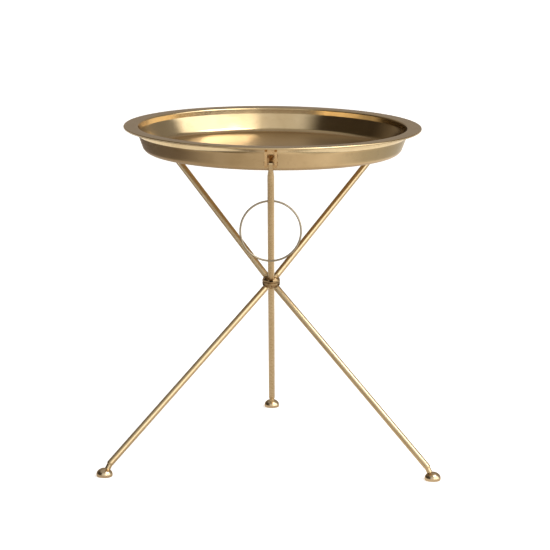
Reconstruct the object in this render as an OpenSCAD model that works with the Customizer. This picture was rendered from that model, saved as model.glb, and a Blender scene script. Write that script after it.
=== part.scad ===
// Folding tripod tray table: a round pan-shaped tray on three arms and three legs that meet in a small hub.
// Z is up and the floor is z = 0. The front of the table faces -Y.
// The table's centre line stands at y = axis_y, so that the footprint is centred on the origin.

/* [Tray] */
// Radius of the tray at the outside of its rolled rim
rim_r = 250; // [248:1:255]
// Height of the rim above the floor
table_h = 568; // [566:1:572]
// Depth of the tray from the rim to its underside
tray_depth = 43; // [41:1:44]
// Outside radius of the short upright neck just under the rim
neck_r = 226.4; // [226:0.1:227]
// Lean of the tray's wall from the vertical, in degrees
wall_draft = 20; // [19:0.5:21]
// Thickness of the tray's sheet metal
sheet_t = 1.2; // [0.9:0.1:1.3]
// Outside radius of the bend between wall and floor
floor_bend_r = 13; // [12.8:0.1:14]
// Radius of the rolled edge round the rim
bead_r = 1.8; // [1.7:0.1:2.2]

/* [Rods] */
// Diameter of the arms and legs
rod_d = 11; // [10.6:0.1:11]
// Distance from the table's centre line to each foot's centre
foot_circle_r = 314.4; // [305:0.2:320]
// Distance along the front arm from its hinge pin to the ring
ring_along_arm = 224.6; // [210:0.2:235]

/* [Hub] */
// Height of the middle of the hub above the floor
hub_z = 301; // [298:1:304]
// Radius of the hub's slotted discs
hub_r = 15; // [15:0.2:16]
// Diameter of the hinge pins
pivot_pin_d = 3; // [2.6:0.1:3]

/* [Brackets] */
// Clear gap between a bracket's two ears
ear_gap = 11.8; // [11.6:0.1:12.4]
// Thickness of each ear
ear_t = 4; // [3:0.1:4.4]
// Diameter of the cross pin that an arm's fork holds
cross_pin_d = 4; // [3.8:0.1:4.2]

/* [Ring and feet] */
// Radius of the hanging ring, to the middle of its wire
ring_r = 49.4; // [47:0.1:51]
// Diameter of the ring's wire
ring_wire_d = 3.2; // [2.8:0.1:3.3]
// Radius of each domed foot
foot_r = 13.6; // [13.2:0.1:14.2]
// Height of each domed foot
foot_h = 14.5; // [14:0.5:16]

/* [Hidden] */
$fn = 96;

// Places of the sub-parts round the centre line, as angles from +X
front = 270;
rear_right = 30;
rear_left = 150;
back = 90;
front_left = 210;
front_right = 330;

axis_y = (rim_r - foot_circle_r - foot_r) / 2;
slip = 0.06;            // radial running clearance of a hinge pin in an eye
side_gap = 0.3;         // clearance beside moving faces
rod_r = rod_d / 2;

// Hub
hub_tier_h = 8.6;
hub_top_r = 11.2;       // radius of a tier's flat outer face
spacer_h = 0.6;
spacer_r = 11.5;
hub_floor_t = 1.5;
pivot_r = 7;            // distance from the centre line to each hinge pin
pivot_dz = 6.2;         // height of the hinge pins above and below the hub's middle
pin_blind_l = 8;        // reach of a hinge pin from its eye to its blind end
pin_open_l = 10.6;      // reach to its other end, just inside its hole
eye_r = 4;              // half the width of a rod's flattened end
eye_t = 6;              // thickness of a rod's flattened end
shoulder = 6;           // distance from a hinge pin to where the round rod starts
rivet_r = 1.5;
rivet_head_r = 2.6;
rivet_head_h = 1.2;
arm_pin_z = hub_z + pivot_dz;
leg_pin_z = hub_z - pivot_dz;

// Arms, each from its hinge pin to the cross pin of its bracket
cross_pin_r = cross_pin_d / 2;
cross_pin_at = rim_r - 15.8;
cross_pin_z = table_h - 28;
arm_run = cross_pin_at - pivot_r;
arm_rise = cross_pin_z - arm_pin_z;
arm_l = norm([arm_run, arm_rise]);
arm_lean = atan2(arm_run, arm_rise);
fork_t = 6;             // thickness of the fork blade
fork_slot_r = cross_pin_r + 0.5;
taper_from = 42;        // the rod is flattened between these distances from the cross pin
taper_to = 12;
ring_hole_r = 2.1;
ring_at = pivot_r + ring_along_arm * sin(arm_lean);
ring_z = arm_pin_z + ring_along_arm * cos(arm_lean);
ring_rise = 0.13;       // centres the curved wire in its straight hole

// Legs and feet
ankle_at = foot_circle_r - 10.9;
ankle_z = 21.5;         // height of the bend above each foot
leg_l = norm([ankle_at - pivot_r, leg_pin_z - ankle_z]);
leg_lean = atan2(ankle_at - pivot_r, leg_pin_z - ankle_z);
stud_r = 4.6;
stud_l = 15;
stud_lean = 30;
foot_base_r = 12.8;
foot_widest_z = 4;
foot_gap = 0.6;         // height of the foot's metal above the floor
pad_r = 10.5;
pad_h = 2;

// Brackets
bracket_low_z = table_h - 35;
bracket_top_z = table_h - 5;
bracket_front = cross_pin_at + 5.2;
back_plate_t = 1.2;
bracket_corner_r = 5;
bracket_w = ear_gap + 2 * ear_t;
pin_head_r = 3.2;
pin_head_h = 1.4;

// Tray
base_z = table_h - tray_depth;
neck_z = table_h - 14;  // height of the neck's lower edge
neck_step = 1;          // overhang of the neck over the wall below it
rim_z = table_h - 0.4;  // height of the flat rim, a little below its rolled edge
rim_bend_r = 2.5;       // radius of the bend from the neck to the rim, on the top side
wire_r = bead_r - 0.65;
bead_x = rim_r - bead_r;
bead_z = table_h - bead_r;

function arc(cx, cz, r, from, to, n = 12) =
    [for (i = [0:n]) let (a = from + (to - from) * i / n) [cx + r * cos(a), cz + r * sin(a)]];

// Outside radius of the tray's leaning wall at a height
function wall_r(z) = neck_r - neck_step - (neck_z - z) * tan(wall_draft);

wall_t = sheet_t / cos(wall_draft);
floor_bend_z = base_z + floor_bend_r;
floor_bend_x = wall_r(floor_bend_z) - floor_bend_r / cos(wall_draft);
rim_bend_x = neck_r - sheet_t + rim_bend_r;
rim_bend_z = rim_z - rim_bend_r;
inner_neck_z = neck_z + (neck_step - sheet_t + wall_t) / tan(wall_draft);

// The tray's underside and outside, from its centre to its rolled edge
tray_outside = concat([[0, base_z]],
    arc(floor_bend_x, floor_bend_z, floor_bend_r, -90, -wall_draft),
    [[wall_r(neck_z), neck_z], [neck_r, neck_z]],
    arc(rim_bend_x, rim_bend_z, rim_bend_r - sheet_t, 180, 90, 6),
    [[bead_x, rim_z - sheet_t]]);

// The tray's top side, from its rolled edge to its centre
tray_inside = concat([[bead_x, rim_z]],
    arc(rim_bend_x, rim_bend_z, rim_bend_r, 90, 180, 6),
    [[neck_r - sheet_t, inner_neck_z]],
    arc(floor_bend_x, floor_bend_z, floor_bend_r - sheet_t, -wall_draft, -90),
    [[0, base_z + sheet_t]]);

// Turns a sub-part from the +X side of the centre line to its own place
module at(place) {
    translate([0, axis_y, 0])
        rotate([0, 0, place])
            children();
}

// Moves from a rod's own frame, +Z along the rod from its hinge pin, to the tilted arm
module along_arm() {
    translate([pivot_r, 0, arm_pin_z])
        rotate([0, arm_lean, 0])
            children();
}

// The same for a leg, whose rod runs down and out
module along_leg() {
    translate([pivot_r, 0, leg_pin_z])
        rotate([0, 180 - leg_lean, 0])
            children();
}

// A pin along Y, across the sub-part's own radius
module across(r, l) {
    rotate([90, 0, 0])
        cylinder(r = r, h = l, center = true);
}

// ---- Tray ----

module tray_pan() {
    color("darkgoldenrod")
        translate([0, axis_y, 0])
            rotate_extrude($fn = 180)
                difference() {
                    union() {
                        polygon(concat(tray_outside, tray_inside));
                        translate([bead_x, bead_z]) circle(r = bead_r, $fn = 32);
                    }
                    translate([bead_x, bead_z]) circle(r = wire_r + 0.05, $fn = 32);
                }
}

module rim_wire() {
    color("peru")
        translate([0, axis_y, bead_z])
            rotate_extrude($fn = 180)
                translate([bead_x, 0]) circle(r = wire_r, $fn = 24);
}

// Everything inside the tray's outer surface, to shape the brackets' backs
module tray_outside_solid() {
    rotate_extrude($fn = 180)
        polygon(concat(tray_outside, [[0, rim_z - sheet_t]]));
}

// Side view of an ear, with its lower front corner rounded and its upper one cut back
module ear_outline() {
    corner_x = bracket_front - bracket_corner_r;
    inner_x = wall_r(bracket_low_z) - 8;
    polygon(concat(
        [[inner_x, bracket_low_z]],
        arc(corner_x, bracket_low_z + bracket_corner_r, bracket_corner_r, -90, 0, 8),
        [[bracket_front, bracket_top_z - 3], [bracket_front - 3, bracket_top_z]],
        [[inner_x, bracket_top_z]]));
}

// The open channel between the ears, in front of a back plate that lies along the wall
module channel_cut() {
    beyond = bracket_front + 1;
    rotate([90, 0, 0])
        linear_extrude(ear_gap, center = true)
            polygon([[wall_r(base_z) + back_plate_t, base_z], [beyond, base_z], [beyond, table_h],
                [neck_r + back_plate_t, table_h], [neck_r + back_plate_t, neck_z],
                [wall_r(neck_z - 1) + back_plate_t, neck_z - 1]]);
}

module bracket() {
    difference() {
        rotate([90, 0, 0])
            linear_extrude(bracket_w, center = true) ear_outline();
        tray_outside_solid();
        channel_cut();
        translate([cross_pin_at, 0, cross_pin_z]) across(cross_pin_r, bracket_w + 2);
    }
}

module cross_pin() {
    translate([cross_pin_at, 0, cross_pin_z]) {
        across(cross_pin_r, bracket_w);
        for (side = [-1, 1])
            translate([0, side * (bracket_w + pin_head_h) / 2, 0]) across(pin_head_r, pin_head_h);
    }
}

module front_bracket() { color("goldenrod") at(front) bracket(); }
module rear_left_bracket() { color("goldenrod") at(rear_left) bracket(); }
module rear_right_bracket() { color("goldenrod") at(rear_right) bracket(); }
module front_cross_pin() { color("saddlebrown") at(front) cross_pin(); }
module rear_left_cross_pin() { color("saddlebrown") at(rear_left) cross_pin(); }
module rear_right_cross_pin() { color("saddlebrown") at(rear_right) cross_pin(); }

// ---- Arms ----

// The flattened, drilled end that sits in a hub slot, in the rod's own frame
module eye_end() {
    across(eye_r, eye_t);
    translate([-eye_r, -eye_t / 2, 0])
        cube([2 * eye_r, eye_t, shoulder + 2]);
}

// The round rod from its shoulder, pressed flat towards its fork
module flattened_rod() {
    half = rod_r + 1;
    intersection() {
        translate([0, 0, shoulder]) cylinder(r = rod_r, h = arm_l - taper_to - shoulder);
        rotate([90, 0, 90])
            linear_extrude(rod_d + 2, center = true)
                polygon([[-half, 0], [half, 0], [half, arm_l - taper_from],
                    [fork_t / 2, arm_l - taper_to], [-fork_t / 2, arm_l - taper_to],
                    [-half, arm_l - taper_from]]);
    }
}

// The flat end of the rod round the cross pin
module fork_blade() {
    translate([0, 0, arm_l]) across(rod_r, fork_t);
    translate([-rod_r, -fork_t / 2, arm_l - taper_to - 1])
        cube([rod_d, fork_t, taper_to + 1]);
}

// The fork's slot, open at the rod's end so that the cross pin can leave it
module fork_slot() {
    translate([0, 0, arm_l]) {
        across(fork_slot_r, fork_t + 2);
        translate([-fork_slot_r, -fork_t / 2 - 1, 0])
            cube([2 * fork_slot_r, fork_t + 2, rod_r + 2]);
    }
}

module arm() {
    along_arm()
        difference() {
            union() {
                eye_end();
                flattened_rod();
                fork_blade();
            }
            across(pivot_pin_d / 2 + slip, eye_t + 2);
            fork_slot();
        }
}

// The front arm is drilled across for the ring's wire
module front_arm() {
    color("darkkhaki") at(front)
        difference() {
            arm();
            translate([ring_at, 0, ring_z]) across(ring_hole_r, rod_d + 4);
        }
}

module rear_left_arm() { color("darkkhaki") at(rear_left) arm(); }
module rear_right_arm() { color("darkkhaki") at(rear_right) arm(); }

module hanging_ring() {
    color("gray") at(front)
        translate([ring_at, 0, ring_z + ring_rise - ring_r])
            rotate([0, 90, 0])
                rotate_extrude()
                    translate([ring_r, 0]) circle(r = ring_wire_d / 2, $fn = 24);
}

// ---- Hub ----

// One slotted disc, drawn as the upper one: its floor is below, its slots open upwards,
// and its rim curves in towards the top
module hub_disc(pin_h) {
    difference() {
        rotate_extrude()
            polygon([[0, 0], [hub_r - 0.5, 0], [hub_r, 0.5], [hub_r, 3.4], [hub_r - 0.8, 5.6],
                [hub_r - 2.1, 7.4], [hub_top_r, hub_tier_h], [0, hub_tier_h]]);
        for (turn = [0, 120, 240])
            rotate([0, 0, turn]) {
                translate([pivot_r - eye_r - 0.4, -eye_t / 2 - side_gap, hub_floor_t])
                    cube([hub_r, eye_t + 2 * side_gap, hub_tier_h]);
                translate([pivot_r, pin_open_l + 3, pin_h])
                    rotate([90, 0, 0]) cylinder(d = pivot_pin_d, h = pin_open_l + 3 + pin_blind_l);
            }
        translate([0, 0, -1]) cylinder(r = rivet_r, h = hub_tier_h + 2);
    }
}

// The room that a round rod needs beyond its shoulder, which is also its stop when open
module rod_seat() {
    translate([0, 0, shoulder - side_gap]) cylinder(r = rod_r + side_gap, h = 30);
}

module upper_hub_disc() {
    low = hub_z + spacer_h / 2;
    color("darkgoldenrod")
        difference() {
            at(rear_right) translate([0, 0, low]) hub_disc(arm_pin_z - low);
            for (place = [front, rear_right, rear_left])
                at(place) along_arm() rod_seat();
        }
}

module lower_hub_disc() {
    top = hub_z - spacer_h / 2;
    color("darkgoldenrod")
        difference() {
            at(back) translate([0, 0, top]) mirror([0, 0, 1]) hub_disc(top - leg_pin_z);
            for (place = [back, front_left, front_right])
                at(place) along_leg() rod_seat();
        }
}

module hub_spacer() {
    color("dimgray")
        translate([0, axis_y, hub_z - spacer_h / 2])
            difference() {
                cylinder(r = spacer_r, h = spacer_h);
                translate([0, 0, -1]) cylinder(r = rivet_r, h = spacer_h + 2);
            }
}

module hub_rivet() {
    half = spacer_h / 2 + hub_tier_h;
    color("saddlebrown")
        translate([0, axis_y, hub_z]) {
            cylinder(r = rivet_r, h = 2 * half, center = true);
            for (side = [-1, 1])
                translate([0, 0, side * (half + rivet_head_h / 2)])
                    cylinder(r = rivet_head_r, h = rivet_head_h, center = true);
        }
}

// A hinge pin, pushed in from one side of the hub
module pivot_pin(z) {
    translate([pivot_r, pin_open_l, z])
        rotate([90, 0, 0])
            cylinder(d = pivot_pin_d, h = pin_open_l + pin_blind_l);
}

module arm_pivot_pins() {
    color("saddlebrown")
        for (place = [front, rear_right, rear_left])
            at(place) pivot_pin(arm_pin_z);
}

module leg_pivot_pins() {
    color("saddlebrown")
        for (place = [back, front_left, front_right])
            at(place) pivot_pin(leg_pin_z);
}

// ---- Legs and feet ----

// A leg's round rod, from its shoulder to its rounded lower end
module leg_rod() {
    rotate_extrude()
        polygon(concat([[0, shoulder], [rod_r, shoulder]],
            arc(0, leg_l, rod_r, 0, 90, 8)));
}

// The stud from a leg's end into its foot, which is steeper than the leg
module foot_stud() {
    translate([ankle_at, 0, ankle_z])
        rotate([0, 180 - stud_lean, 0])
            cylinder(r = stud_r, h = stud_l);
}

module leg() {
    difference() {
        along_leg()
            difference() {
                union() {
                    eye_end();
                    leg_rod();
                }
                across(pivot_pin_d / 2 + slip, eye_t + 2);
            }
        foot_stud();
    }
}

// Half of a foot's outline: an elliptical dome over a tucked-in base
foot_outline = concat(
    [[0, foot_gap], [foot_base_r, foot_gap]],
    [for (a = [-75:15:0])
        [foot_base_r + (foot_r - foot_base_r) * cos(a), foot_widest_z + (foot_widest_z - foot_gap) * sin(a)]],
    [for (a = [6:6:84]) [foot_r * cos(a), foot_widest_z + (foot_h - foot_widest_z) * sin(a)]],
    [[0, foot_h]]);

module foot() {
    difference() {
        translate([foot_circle_r, 0, 0]) rotate_extrude() polygon(foot_outline);
        foot_stud();
        translate([foot_circle_r, 0, -1]) cylinder(r = pad_r, h = pad_h + 1);
    }
}

module foot_pad() {
    translate([foot_circle_r, 0, 0]) cylinder(r = pad_r, h = pad_h);
}

module back_leg() { color("darkkhaki") at(back) leg(); }
module front_left_leg() { color("darkkhaki") at(front_left) leg(); }
module front_right_leg() { color("darkkhaki") at(front_right) leg(); }
module back_foot_stud() { color("saddlebrown") at(back) foot_stud(); }
module front_left_foot_stud() { color("saddlebrown") at(front_left) foot_stud(); }
module front_right_foot_stud() { color("saddlebrown") at(front_right) foot_stud(); }
module back_foot() { color("goldenrod") at(back) foot(); }
module front_left_foot() { color("goldenrod") at(front_left) foot(); }
module front_right_foot() { color("goldenrod") at(front_right) foot(); }
module back_foot_pad() { color("dimgray") at(back) foot_pad(); }
module front_left_foot_pad() { color("dimgray") at(front_left) foot_pad(); }
module front_right_foot_pad() { color("dimgray") at(front_right) foot_pad(); }

tray_pan();
rim_wire();
front_bracket();
rear_left_bracket();
rear_right_bracket();
front_cross_pin();
rear_left_cross_pin();
rear_right_cross_pin();
front_arm();
rear_left_arm();
rear_right_arm();
hanging_ring();
upper_hub_disc();
lower_hub_disc();
hub_spacer();
hub_rivet();
arm_pivot_pins();
leg_pivot_pins();
back_leg();
front_left_leg();
front_right_leg();
back_foot_stud();
front_left_foot_stud();
front_right_foot_stud();
back_foot();
front_left_foot();
front_right_foot();
back_foot_pad();
front_left_foot_pad();
front_right_foot_pad();
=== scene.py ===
import math

import bmesh
import bpy
from mathutils import Matrix, Vector

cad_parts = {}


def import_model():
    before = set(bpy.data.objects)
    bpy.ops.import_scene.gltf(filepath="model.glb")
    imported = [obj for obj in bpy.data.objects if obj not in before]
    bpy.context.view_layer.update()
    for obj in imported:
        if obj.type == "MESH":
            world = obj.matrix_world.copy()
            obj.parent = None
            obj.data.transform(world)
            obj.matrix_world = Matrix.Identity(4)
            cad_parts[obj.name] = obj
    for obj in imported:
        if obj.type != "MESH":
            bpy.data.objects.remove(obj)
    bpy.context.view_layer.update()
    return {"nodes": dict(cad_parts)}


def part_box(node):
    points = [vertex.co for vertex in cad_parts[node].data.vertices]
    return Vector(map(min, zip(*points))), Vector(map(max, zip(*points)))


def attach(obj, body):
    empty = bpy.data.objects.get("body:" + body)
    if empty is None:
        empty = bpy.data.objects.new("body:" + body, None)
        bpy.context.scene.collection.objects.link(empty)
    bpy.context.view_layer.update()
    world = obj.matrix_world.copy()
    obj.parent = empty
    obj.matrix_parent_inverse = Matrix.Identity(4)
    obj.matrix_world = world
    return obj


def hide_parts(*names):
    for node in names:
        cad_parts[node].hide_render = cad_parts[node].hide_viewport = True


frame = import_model()
nodes = frame["nodes"]

# ---- Sizes, in metres, as in the CAD source ----

AXIS_Y = -0.039
RIM_R = 0.250
TABLE_H = 0.568
TRAY_DEPTH = 0.043
SHEET = 0.0012
NECK_R = 0.2264
NECK_STEP = 0.001
NECK_Z = TABLE_H - 0.014
DRAFT = math.radians(20)
FLOOR_BEND = 0.013
BEAD_R = 0.0018
RIM_Z = TABLE_H - 0.0004
RIM_BEND = 0.0025

PLACES = {
    "front": 270, "rear_right": 30, "rear_left": 150,
    "back": 90, "front_left": 210, "front_right": 330,
}
ARMS = ("front", "rear_left", "rear_right")
LEGS = ("back", "front_left", "front_right")

FOOT_CIRCLE = 0.3144
FOOT_R = 0.0136
FOOT_H = 0.0145
FOOT_BASE_R = 0.0128
FOOT_WIDEST = 0.004
FOOT_GAP = 0.0006
PAD_R = 0.0105
PAD_H = 0.002

RING_R = 0.0494
RING_WIRE_R = 0.0016


# ---- Mesh helpers ----

def turn(place):
    """From the +X side of the centre line to a sub-part's own place."""
    return Matrix.Translation((0, AXIS_Y, 0)) @ Matrix.Rotation(math.radians(PLACES[place]), 4, "Z")


def arc(cx, cz, r, start, end, n):
    pts = []
    for i in range(n + 1):
        a = math.radians(start + (end - start) * i / n)
        pts.append((cx + r * math.cos(a), cz + r * math.sin(a)))
    return pts


def make(name, bm, body, material, sharp=35, stands_for=()):
    """Turns a bmesh into a smooth-shaded piece on a body."""
    bmesh.ops.remove_doubles(bm, verts=bm.verts, dist=1e-7)
    bmesh.ops.recalc_face_normals(bm, faces=bm.faces)
    mesh = bpy.data.meshes.new(name)
    bm.to_mesh(mesh)
    bm.free()
    for p in mesh.polygons:
        p.use_smooth = True
    mesh.set_sharp_from_angle(angle=math.radians(sharp))
    obj = bpy.data.objects.new(name, mesh)
    bpy.context.scene.collection.objects.link(obj)
    mesh.materials.append(material)
    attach(obj, body)
    if stands_for:
        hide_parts(*stands_for)
    return obj


def lathe(bm, profile, matrix, segs, closed=True):
    """Turns a profile of (radius, height) round the matrix's Z axis."""
    rings = []
    for r, z in profile:
        if r < 1e-9:
            rings.append([bm.verts.new(matrix @ Vector((0, 0, z)))])
        else:
            rings.append([
                bm.verts.new(matrix @ Vector((r * math.cos(2 * math.pi * k / segs),
                                              r * math.sin(2 * math.pi * k / segs), z)))
                for k in range(segs)])
    pairs = list(zip(rings[:-1], rings[1:]))
    if closed:
        pairs.append((rings[-1], rings[0]))
    for a, b in pairs:
        if len(a) == 1 and len(b) == 1:
            continue
        for k in range(segs):
            j = (k + 1) % segs
            if len(a) == 1:
                bm.faces.new((a[0], b[j], b[k]))
            elif len(b) == 1:
                bm.faces.new((a[k], a[j], b[0]))
            else:
                bm.faces.new((a[k], a[j], b[j], b[k]))


# ---- Materials ----

class Nodes:
    """A short way to write a material's nodes."""

    def __init__(self, name):
        self.mat = bpy.data.materials.new(name + "_look")
        self.mat.use_nodes = True
        self.tree = self.mat.node_tree
        self.shader = self.tree.nodes["Principled BSDF"]

    def add(self, kind, **props):
        n = self.tree.nodes.new(kind)
        for k, v in props.items():
            setattr(n, k, v)
        return n

    def link(self, a, b):
        self.tree.links.new(a, b)

    def math(self, op, a, b=None):
        n = self.add("ShaderNodeMath", operation=op)
        for i, v in enumerate((a, b)):
            if v is None:
                continue
            if isinstance(v, (int, float)):
                n.inputs[i].default_value = v
            else:
                self.link(v, n.inputs[i])
        return n.outputs[0]

    def noise(self, vector, scale, detail=3.0, roughness=0.5, dims="3D"):
        n = self.add("ShaderNodeTexNoise", noise_dimensions=dims)
        n.inputs["Scale"].default_value = scale
        n.inputs["Detail"].default_value = detail
        n.inputs["Roughness"].default_value = roughness
        if dims == "1D":
            self.link(vector, n.inputs["W"])
        else:
            self.link(vector, n.inputs["Vector"])
        return n.outputs["Fac"]

    def remap(self, value, a, b, c, d):
        n = self.add("ShaderNodeMapRange")
        self.link(value, n.inputs["Value"])
        for k, v in zip(("From Min", "From Max", "To Min", "To Max"), (a, b, c, d)):
            n.inputs[k].default_value = v
        return n.outputs["Result"]

    def ramp(self, value, stops):
        n = self.add("ShaderNodeValToRGB")
        e = n.color_ramp.elements
        while len(e) < len(stops):
            e.new(0.5)
        for item, (pos, col) in zip(e, stops):
            item.position = pos
            item.color = (*col, 1)
        self.link(value, n.inputs["Fac"])
        return n.outputs["Color"]

    def mix(self, fac, a, b, mode="MIX"):
        n = self.add("ShaderNodeMix", data_type="RGBA", blend_type=mode)
        for i, v in ((0, fac), (6, a), (7, b)):
            if isinstance(v, (int, float)):
                n.inputs[i].default_value = v
            elif isinstance(v, tuple):
                n.inputs[i].default_value = (*v, 1)
            else:
                self.link(v, n.inputs[i])
        return n.outputs[2]


def brass(name, tone, dark, rough, spun=False, dull=0.05):
    """Lacquered brass. Spun brass has fine lines that run round the table's centre line."""
    m = Nodes(name)
    where = m.add("ShaderNodeTexCoord").outputs["Object"]
    if spun:
        centred = m.add("ShaderNodeVectorMath", operation="SUBTRACT")
        m.link(where, centred.inputs[0])
        centred.inputs[1].default_value = (0, AXIS_Y, 0)
        parts = m.add("ShaderNodeSeparateXYZ")
        m.link(centred.outputs[0], parts.inputs[0])
        flat = m.math("SQRT", m.math("ADD", m.math("MULTIPLY", parts.outputs[0], parts.outputs[0]),
                                     m.math("MULTIPLY", parts.outputs[1], parts.outputs[1])))
        line = m.math("ADD", flat, m.math("MULTIPLY", parts.outputs[2], 1.7))
        # The tray's floor is brushed and duller than its wall; its colour is also painted darker, as painted shade in
        # the tray's hollow
        brushed_floor_and_shade = m.remap(parts.outputs[2], TABLE_H - TRAY_DEPTH + 0.0025, TABLE_H - TRAY_DEPTH + 0.006, 1, 0)
        fine = m.noise(line, 2600, 2.0, 0.6, "1D")
        broad = m.noise(line, 260, 2.0, 0.5, "1D")
        lines = m.math("ADD", m.math("MULTIPLY", fine, 0.7), m.math("MULTIPLY", broad, 0.3))
    else:
        lines = m.noise(where, 900, 4.0, 0.65)
    cloud = m.noise(where, 14, 3.0, 0.55)
    spots = m.noise(where, 160, 4.0, 0.6)
    colour = m.ramp(cloud, [(0.3, dark), (0.55, tone), (0.8, tuple(min(1, c * 1.05) for c in tone))])
    colour = m.mix(m.remap(spots, 0.56, 0.74, 0, dull * 4), colour, tuple(c * 0.62 for c in dark))
    edge = m.add("ShaderNodeNewGeometry").outputs["Pointiness"]
    worn = m.remap(edge, 0.505, 0.56, 0, 0.35)
    colour = m.mix(worn, colour, tuple(min(1, c * 1.18) for c in tone))
    rough_lines = m.remap(lines, 0.25, 0.75, rough * 0.82, rough * 1.18)
    if spun:
        # Painted shade: the tray's floor colour is darkened towards a deep brown, standing in for the shade and dark
        # reflections in the tray's hollow; the added roughness below is the real brushing
        colour = m.mix(m.math("MULTIPLY", brushed_floor_and_shade, 0.8), colour, (0.47, 0.335, 0.185))
        rough_lines = m.math("ADD", rough_lines, m.math("MULTIPLY", brushed_floor_and_shade, 0.17))
    m.link(colour, m.shader.inputs["Base Color"])
    m.link(m.math("ADD", rough_lines, m.remap(spots, 0.45, 0.8, 0, dull)), m.shader.inputs["Roughness"])
    bump = m.add("ShaderNodeBump")
    bump.inputs["Strength"].default_value = 0.08 if spun else 0.12
    bump.inputs["Distance"].default_value = 0.0002
    m.link(lines, bump.inputs["Height"])
    m.link(bump.outputs["Normal"], m.shader.inputs["Normal"])
    m.shader.inputs["Metallic"].default_value = 1.0
    m.shader.inputs["Specular IOR Level"].default_value = 0.5
    m.shader.inputs["Coat Weight"].default_value = 0.12
    m.shader.inputs["Coat Roughness"].default_value = 0.22
    return m.mat


def felt(name):
    m = Nodes(name)
    where = m.add("ShaderNodeTexCoord").outputs["Object"]
    fuzz = m.noise(where, 2200, 5.0, 0.7)
    cloud = m.noise(where, 90, 2.0, 0.5)
    colour = m.ramp(fuzz, [(0.3, (0.012, 0.011, 0.010)), (0.7, (0.06, 0.055, 0.05))])
    m.link(m.mix(m.remap(cloud, 0.4, 0.7, 0, 0.4), colour, (0.035, 0.03, 0.026)), m.shader.inputs["Base Color"])
    m.link(m.remap(fuzz, 0.2, 0.8, 0.85, 1.0), m.shader.inputs["Roughness"])
    m.shader.inputs["Sheen Weight"].default_value = 0.4
    bump = m.add("ShaderNodeBump")
    bump.inputs["Strength"].default_value = 0.6
    bump.inputs["Distance"].default_value = 0.0003
    m.link(fuzz, bump.inputs["Height"])
    m.link(bump.outputs["Normal"], m.shader.inputs["Normal"])
    return m.mat


def iron(name):
    m = Nodes(name)
    where = m.add("ShaderNodeTexCoord").outputs["Object"]
    grit = m.noise(where, 700, 4.0, 0.6)
    m.link(m.ramp(grit, [(0.3, (0.05, 0.045, 0.04)), (0.7, (0.14, 0.12, 0.1))]), m.shader.inputs["Base Color"])
    m.link(m.remap(grit, 0.3, 0.7, 0.45, 0.7), m.shader.inputs["Roughness"])
    m.shader.inputs["Metallic"].default_value = 0.8
    return m.mat


tray_mat = brass("tray_brass", (0.66, 0.505, 0.29), (0.57, 0.42, 0.225), 0.15, spun=True)
rod_mat = brass("rod_brass", (0.64, 0.495, 0.29), (0.54, 0.40, 0.215), 0.28)
foot_mat = brass("foot_brass", (0.72, 0.57, 0.37), (0.62, 0.47, 0.28), 0.2)
hub_mat = brass("hub_brass", (0.42, 0.29, 0.15), (0.30, 0.20, 0.10), 0.25)
bracket_mat = brass("bracket_brass", (0.62, 0.42, 0.21), (0.52, 0.34, 0.16), 0.26)
pin_mat = brass("pin_brass", (0.46, 0.31, 0.16), (0.34, 0.22, 0.11), 0.3)
ring_mat = brass("ring_brass", (0.42, 0.36, 0.26), (0.33, 0.275, 0.19), 0.3)
pad_mat = felt("pad_felt")
wire_mat = iron("rim_wire_iron")


# ---- Tray ----

def wall_r(z):
    return NECK_R - NECK_STEP - (NECK_Z - z) * math.tan(DRAFT)


def tray():
    base = TABLE_H - TRAY_DEPTH
    wall_t = SHEET / math.cos(DRAFT)
    cz = base + FLOOR_BEND
    cx = wall_r(cz) - FLOOR_BEND / math.cos(DRAFT)
    inner_neck = NECK_Z + (NECK_STEP - SHEET + wall_t) / math.tan(DRAFT)
    rim_x = NECK_R - SHEET + RIM_BEND
    rim_z = RIM_Z - RIM_BEND
    bead_x = RIM_R - BEAD_R
    bead_z = TABLE_H - BEAD_R
    under = math.degrees(math.acos((RIM_Z - SHEET - bead_z) / BEAD_R)) + 90
    over = 180 - math.degrees(math.asin((RIM_Z - bead_z) / BEAD_R))
    outside = [(0, base), (0.05, base), (0.1, base), (0.15, base), (0.19, base)]
    outside += arc(cx, cz, FLOOR_BEND, -90, -20, 12)
    outside += [(wall_r(z), z) for z in (0.5365, 0.543, 0.550, NECK_Z - 0.0006)]
    outside += arc(wall_r(NECK_Z) + 0.0002, NECK_Z - 0.0002, 0.0002, 180, 90, 2)
    outside += [(NECK_R - 0.0002, NECK_Z)]
    outside += arc(NECK_R - 0.0002, NECK_Z + 0.0002, 0.0002, -60, 0, 2)
    outside += [(NECK_R, NECK_Z + 0.004)]
    outside += arc(rim_x, rim_z, RIM_BEND - SHEET, 180, 90, 5)
    outside += [(0.235, RIM_Z - SHEET), (0.242, RIM_Z - SHEET)]
    bead = arc(bead_x, bead_z, BEAD_R, under, over + 360, 20)
    inside = [(0.242, RIM_Z), (0.235, RIM_Z)]
    inside += arc(rim_x, rim_z, RIM_BEND, 90, 180, 7)
    inside += [(NECK_R - SHEET, inner_neck + 0.0008), (NECK_R - SHEET - 0.0002, inner_neck - 0.0005)]
    inside += [(wall_r(z) - wall_t, z) for z in (0.552, 0.545)]
    inside += arc(cx, cz, FLOOR_BEND - SHEET, -20, -90, 12)
    inside += [(0.19, base + SHEET), (0.15, base + SHEET), (0.1, base + SHEET), (0.05, base + SHEET),
               (0, base + SHEET)]
    bm = bmesh.new()
    lathe(bm, outside + bead + inside, Matrix.Translation((0, AXIS_Y, 0)), 288, closed=False)
    return make("tray_pan_metal", bm, "tray", tray_mat, 28, ("tray_pan",))


tray()


# ---- Feet ----

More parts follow.
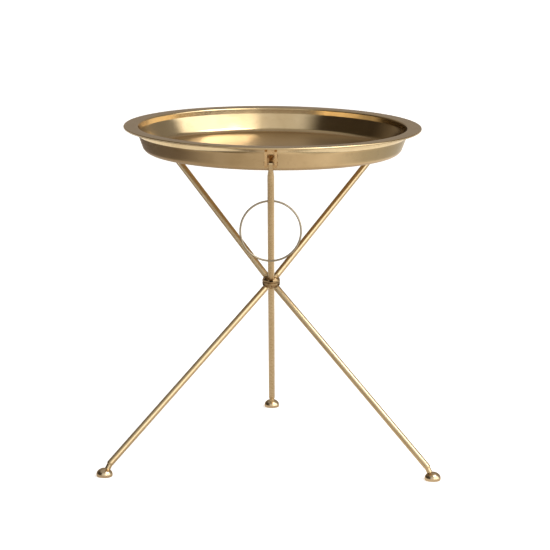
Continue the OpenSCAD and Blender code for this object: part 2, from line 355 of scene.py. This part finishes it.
def foot(place):
    m = turn(place) @ Matrix.Translation((FOOT_CIRCLE, 0, 0))
    low = [(FOOT_BASE_R + (FOOT_R - FOOT_BASE_R) * math.cos(math.radians(a)),
            FOOT_WIDEST + (FOOT_WIDEST - FOOT_GAP) * math.sin(math.radians(a))) for a in range(-80, 0, 10)]
    dome = [(FOOT_R * math.cos(math.radians(a)),
             FOOT_WIDEST + (FOOT_H - FOOT_WIDEST) * math.sin(math.radians(a))) for a in range(0, 90, 5)]
    profile = [(0, PAD_H), (PAD_R, PAD_H), (PAD_R, FOOT_GAP + 0.0002), (PAD_R + 0.0002, FOOT_GAP),
               (FOOT_BASE_R - 0.0002, FOOT_GAP)] + low + dome + [(0, FOOT_H)]
    bm = bmesh.new()
    lathe(bm, profile, m, 64, closed=False)
    make(place + "_foot_dome", bm, "leg_" + place, foot_mat, 40, (place + "_foot",))


for place in LEGS:
    foot(place)


# ---- Ring ----

def ring():
    lo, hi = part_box("hanging_ring")
    centre = (lo + hi) / 2
    bm = bmesh.new()
    around, across = 160, 20
    rows = []
    for i in range(around):
        a = 2 * math.pi * i / around
        rows.append([
            bm.verts.new(centre + Vector(((RING_R + RING_WIRE_R * math.cos(b)) * math.cos(a),
                                          RING_WIRE_R * math.sin(b),
                                          (RING_R + RING_WIRE_R * math.cos(b)) * math.sin(a))))
            for b in (2 * math.pi * k / across for k in range(across))])
    for i in range(around):
        for k in range(across):
            bm.faces.new((rows[i][k], rows[(i + 1) % around][k],
                          rows[(i + 1) % around][(k + 1) % across], rows[i][(k + 1) % across]))
    make("ring_wire", bm, "ring", ring_mat, 80, ("hanging_ring",))


ring()


# ---- Carried-over CAD nodes ----

def dress(names, material):
    for name in names:
        obj = nodes[name]
        obj.data.materials.clear()
        obj.data.materials.append(material)


dress([p + "_arm" for p in ARMS] + [p + "_leg" for p in LEGS], rod_mat)
dress([p + "_foot_stud" for p in LEGS], rod_mat)
dress([p + "_bracket" for p in ARMS], bracket_mat)
dress([p + "_cross_pin" for p in ARMS] + ["arm_pivot_pins", "leg_pivot_pins", "hub_rivet"], pin_mat)
dress(["upper_hub_disc", "lower_hub_disc", "hub_spacer"], hub_mat)
dress([p + "_foot_pad" for p in LEGS], pad_mat)
dress(["rim_wire"], wire_mat)


# ---- Camera ----

def camera():
    """A long lens a little above the tray, as far away as a studio camera stands."""
    dist, pitch, swing, roll = 4.1947, math.radians(11.54), math.radians(0.5), math.radians(0.533)
    target = Vector((0.00634, AXIS_Y, 0.3124))
    ahead = Vector((-math.sin(swing) * math.cos(pitch), math.cos(swing) * math.cos(pitch), -math.sin(pitch)))
    level = ahead.cross(Vector((0, 0, 1))).normalized()
    above = level.cross(ahead)
    right = level * math.cos(roll) + above * math.sin(roll)
    up = above * math.cos(roll) - level * math.sin(roll)
    data = bpy.data.cameras.new("camera")
    data.sensor_width = 36
    data.lens = 161.79
    cam = bpy.data.objects.new("camera", data)
    bpy.context.scene.collection.objects.link(cam)
    at = target - ahead * dist
    cam.matrix_world = Matrix((
        (right.x, up.x, -ahead.x, at.x),
        (right.y, up.y, -ahead.y, at.y),
        (right.z, up.z, -ahead.z, at.z),
        (0, 0, 0, 1)))
    bpy.context.scene.camera = cam


camera()


# ---- Floor and light ----

def plane(name, half_x, half_y, at, material):
    mesh = bpy.data.meshes.new(name)
    mesh.from_pydata([(-half_x, -half_y, 0), (half_x, -half_y, 0), (half_x, half_y, 0), (-half_x, half_y, 0)],
                     [], [(0, 1, 2, 3)])
    obj = bpy.data.objects.new(name, mesh)
    obj.location = at
    bpy.context.scene.collection.objects.link(obj)
    mesh.materials.append(material)
    return obj


def floor():
    m = Nodes("floor_paint")
    m.shader.inputs["Base Color"].default_value = (0.86, 0.86, 0.86, 1)
    m.shader.inputs["Roughness"].default_value = 0.9
    m.shader.inputs["Emission Color"].default_value = (1, 1, 1, 1)
    m.shader.inputs["Emission Strength"].default_value = 0.6
    plane("floor", 30, 30, (0, 0, 0), m.mat)


def floor_card():
    """A warm card on the floor, seen only in the brass, brightest to the right."""
    m = Nodes("card")
    where = m.add("ShaderNodeTexCoord").outputs["Object"]
    parts = m.add("ShaderNodeSeparateXYZ")
    m.link(where, parts.inputs[0])
    across = m.remap(parts.outputs[0], -1.5, 1.5, 0, 1)
    glow = m.add("ShaderNodeEmission")
    m.link(m.ramp(across, [
        (0.07, (0.10, 0.08, 0.065)), (0.2, (0.2, 0.165, 0.14)), (0.3, (0.48, 0.42, 0.36)),
        (0.5, (0.66, 0.58, 0.49)), (0.7, (0.96, 0.87, 0.77)), (0.82, (0.55, 0.52, 0.45)),
        (1.0, (0.4, 0.39, 0.36))]), glow.inputs["Color"])
    out = m.tree.nodes["Material Output"]
    m.link(glow.outputs[0], out.inputs["Surface"])
    card = plane("floor_card", 1.5, 5.0, (0, 0, 0.0003), m.mat)
    card.visible_camera = False
    card.visible_diffuse = False
    card.visible_shadow = False
    card.visible_transmission = False


def backdrop():
    """A pale wall far out all round, seen by the camera only."""
    m = Nodes("backdrop_paint")
    m.shader.inputs["Base Color"].default_value = (0.86, 0.86, 0.86, 1)
    m.shader.inputs["Roughness"].default_value = 0.9
    m.shader.inputs["Emission Color"].default_value = (1, 1, 1, 1)
    m.shader.inputs["Emission Strength"].default_value = 1.0
    bm = bmesh.new()
    lathe(bm, [(29, 0.001), (29, 40)], Matrix.Identity(4), 96, closed=False)
    mesh = bpy.data.meshes.new("backdrop")
    bm.to_mesh(mesh)
    bm.free()
    mesh.materials.append(m.mat)
    obj = bpy.data.objects.new("backdrop", mesh)
    bpy.context.scene.collection.objects.link(obj)
    obj.visible_diffuse = False
    obj.visible_glossy = False
    obj.visible_shadow = False
    obj.visible_transmission = False


def world():
    """A studio with a bright wall to the right, a dark one to the left and a brown one behind."""
    w = bpy.data.worlds.new("studio")
    bpy.context.scene.world = w
    w.use_nodes = True
    t = w.node_tree
    back = t.nodes["Background"]
    coord = t.nodes.new("ShaderNodeTexCoord").outputs["Generated"]
    parts = t.nodes.new("ShaderNodeSeparateXYZ")
    t.links.new(coord, parts.inputs[0])

    def op(kind, a, b):
        n = t.nodes.new("ShaderNodeMath")
        n.operation = kind
        for i, v in enumerate((a, b)):
            if isinstance(v, (int, float)):
                n.inputs[i].default_value = v
            else:
                t.links.new(v, n.inputs[i])
        return n.outputs[0]

    # 0 and 1 are to the left, 0.25 in front, 0.5 to the right and 0.75 behind
    round_about = op("ADD", op("DIVIDE", op("ARCTAN2", parts.outputs[1], parts.outputs[0]), 2 * math.pi), 0.5)
    walls = t.nodes.new("ShaderNodeValToRGB")
    stops = [(0.0, 0.055, 1.4), (0.125, 0.055, 1.4), (0.175, 0.80, 0), (0.28, 0.9, 0), (0.305, 2.1, 0), (0.50, 2.1, 0),
             (0.53, 0.30, 0.3), (0.60, 0.26, 0.5), (0.66, 0.36, 1), (0.75, 0.32, 1), (0.85, 0.22, 1),
             (0.90, 0.14, 1.2), (0.96, 0.045, 1.4), (1.0, 0.055, 1.4)]
    items = walls.color_ramp.elements
    while len(items) < len(stops):
        items.new(0.5)
    for item, (at, level, brown) in zip(items, stops):
        item.position = at
        item.color = (level, level * (1 - 0.15 * brown), level * (1 - 0.32 * brown), 1)
    t.links.new(round_about, walls.inputs["Fac"])
    height = t.nodes.new("ShaderNodeMapRange")
    height.interpolation_type = "SMOOTHSTEP"
    height.inputs["From Min"].default_value = 0.62
    height.inputs["From Max"].default_value = 0.85
    t.links.new(parts.outputs[2], height.inputs["Value"])
    sky = t.nodes.new("ShaderNodeMix")
    sky.data_type = "RGBA"
    t.links.new(height.outputs["Result"], sky.inputs[0])
    t.links.new(walls.outputs["Color"], sky.inputs[6])
    sky.inputs[7].default_value = (0.42, 0.40, 0.375, 1)
    t.links.new(sky.outputs[2], back.inputs["Color"])
    back.inputs["Strength"].default_value = 1.0


def key():
    """A soft box above and to the right."""
    data = bpy.data.lights.new("key", "AREA")
    data.shape = "RECTANGLE"
    data.size = 1.6
    data.size_y = 1.2
    data.energy = 30
    obj = bpy.data.objects.new("key", data)
    bpy.context.scene.collection.objects.link(obj)
    obj.location = (1.3, -0.8, 2.4)
    aim = Vector((0, AXIS_Y, 0.35)) - obj.location
    obj.rotation_euler = aim.to_track_quat("-Z", "Y").to_euler()


floor()
floor_card()
backdrop()
world()
key()
bpy.context.scene.view_settings.view_transform = "Standard"
